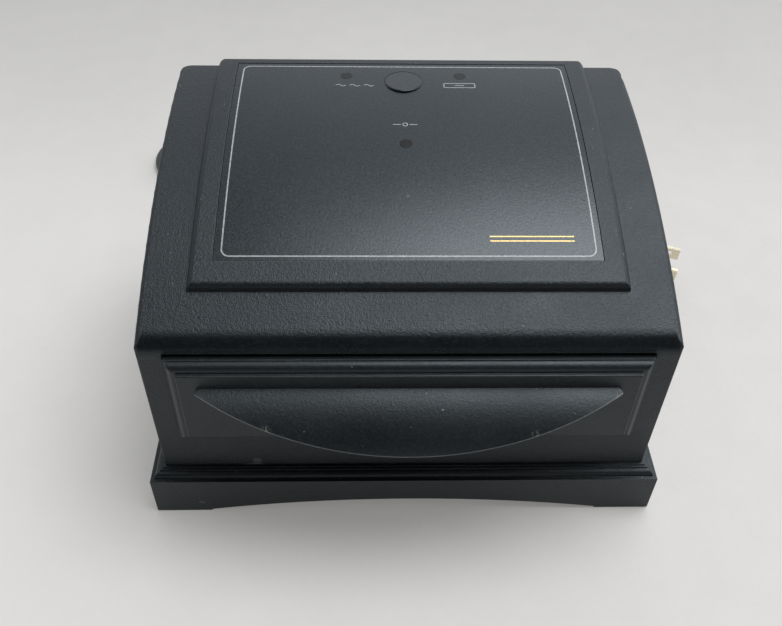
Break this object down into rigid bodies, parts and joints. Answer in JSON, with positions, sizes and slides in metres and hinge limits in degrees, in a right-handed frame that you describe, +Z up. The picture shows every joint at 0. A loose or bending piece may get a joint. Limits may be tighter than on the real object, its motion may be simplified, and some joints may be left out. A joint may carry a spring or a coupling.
{
  "type": "hearing aid dryer",
  "caption": "Arched tabletop electric dryer and sanitizer for hearing aids, with a pull-out drawer, a moulded plinth, a start key and a mains cord.",
  "frame": {"origin": "on the surface that the feet stand on, under the middle of the cabinet and its drawer pull, the cord left out", "axes": "+Z up, the drawer faces -Y, +X to the right as the user faces the drawer"},
  "size_m": [0.2552, 0.2524, 0.1082],
  "materials": {
    "housing": "satin black moulded plastic, fine grain",
    "plinth": "satin black moulded plastic, fine grain",
    "drawer_panel": "satin black moulded plastic",
    "foot_rubber": "matt",
    "label": "satin printed sheet with a silver border line",
    "key": "satin",
    "window": "dark tinted, polished",
    "led": "clear",
    "board": "green solder mask",
    "switch_body": "moulded",
    "screw_steel": "zinc plated",
    "tray": "pale grey moulded plastic",
    "brick_case": "white moulded plastic",
    "brick_fill": "packed beads",
    "brick_lid": "white moulded plastic",
    "magnet": "nickel plated",
    "reed": "moulded",
    "deck": "moulded",
    "sheet_aluminium": "bright sheet",
    "lamp_glass": "frosted tube",
    "lamp_holder": "moulded",
    "ballast": "moulded case",
    "core_steel": "lacquered laminations",
    "winding": "taped winding",
    "ceramic": "fired ceramic",
    "spring_steel": "bright",
    "fan_plastic": "moulded",
    "cord": "satin black flexible jacket",
    "moulded_rubber": "satin black moulded",
    "tie": "matt",
    "blade_metal": "worn bright"
  },
  "bodies": {
    "root": {"housing_shell": "housing", "base_plinth": "plinth", "foot_pads": "foot_rubber", "label_overlay": "label", "left_window": "window", "right_window": "window", "middle_window": "window", "indicator_leds": "led", "control_board": "board", "key_switch": "switch_body", "base_screws": "screw_steel", "board_screws": "screw_steel", "deck_screws": "screw_steel", "plate_screws": "screw_steel", "fan_screws": "screw_steel", "fan_shaft": "screw_steel", "left_rail": "tray", "right_rail": "tray", "reed_switch": "reed", "drawer_deck": "deck", "ceiling_plate": "sheet_aluminium", "lamp_reflector": "sheet_aluminium", "sanitizing_lamp": "lamp_glass", "lamp_holders": "lamp_holder", "lamp_ballast": "ballast", "transformer_core": "core_steel", "transformer_coil": "winding", "heater_block": "ceramic", "heater_clips": "spring_steel", "thermal_cutout": "spring_steel", "fan_frame": "fan_plastic", "mains_lead": "cord", "power_cord_lead": "cord", "power_cord_coil": "cord", "power_cord_tail": "cord", "strain_relief": "moulded_rubber", "plug_body": "moulded_rubber", "cord_tie": "tie", "plug_blades": "blade_metal"},
    "drawer": {"drawer_front": "drawer_panel", "drawer_tray": "tray", "tray_screws": "screw_steel", "desiccant_case": "brick_case", "desiccant_fill": "brick_fill", "desiccant_lid": "brick_lid", "drawer_magnet": "magnet"},
    "key": {"start_key": "key", "switch_stem": "switch_body"},
    "fan": {"fan_rotor": "fan_plastic"}
  },
  "joints": [
    {"name": "drawer_slide", "type": "slide", "parent": "root", "child": "drawer", "axis": [0, -1, 0], "range_m": [0, 0.085]},
    {"name": "key_press", "type": "slide", "parent": "root", "child": "key", "axis": [0, 0, -1], "range_m": [0, 0.0008], "stiffness_N_per_m": 1500},
    {"name": "fan_spin", "type": "hinge", "parent": "root", "child": "fan", "pos_m": [0, 0.01025, 0.028], "axis": [0, 0, 1], "continuous": true}
  ]
}
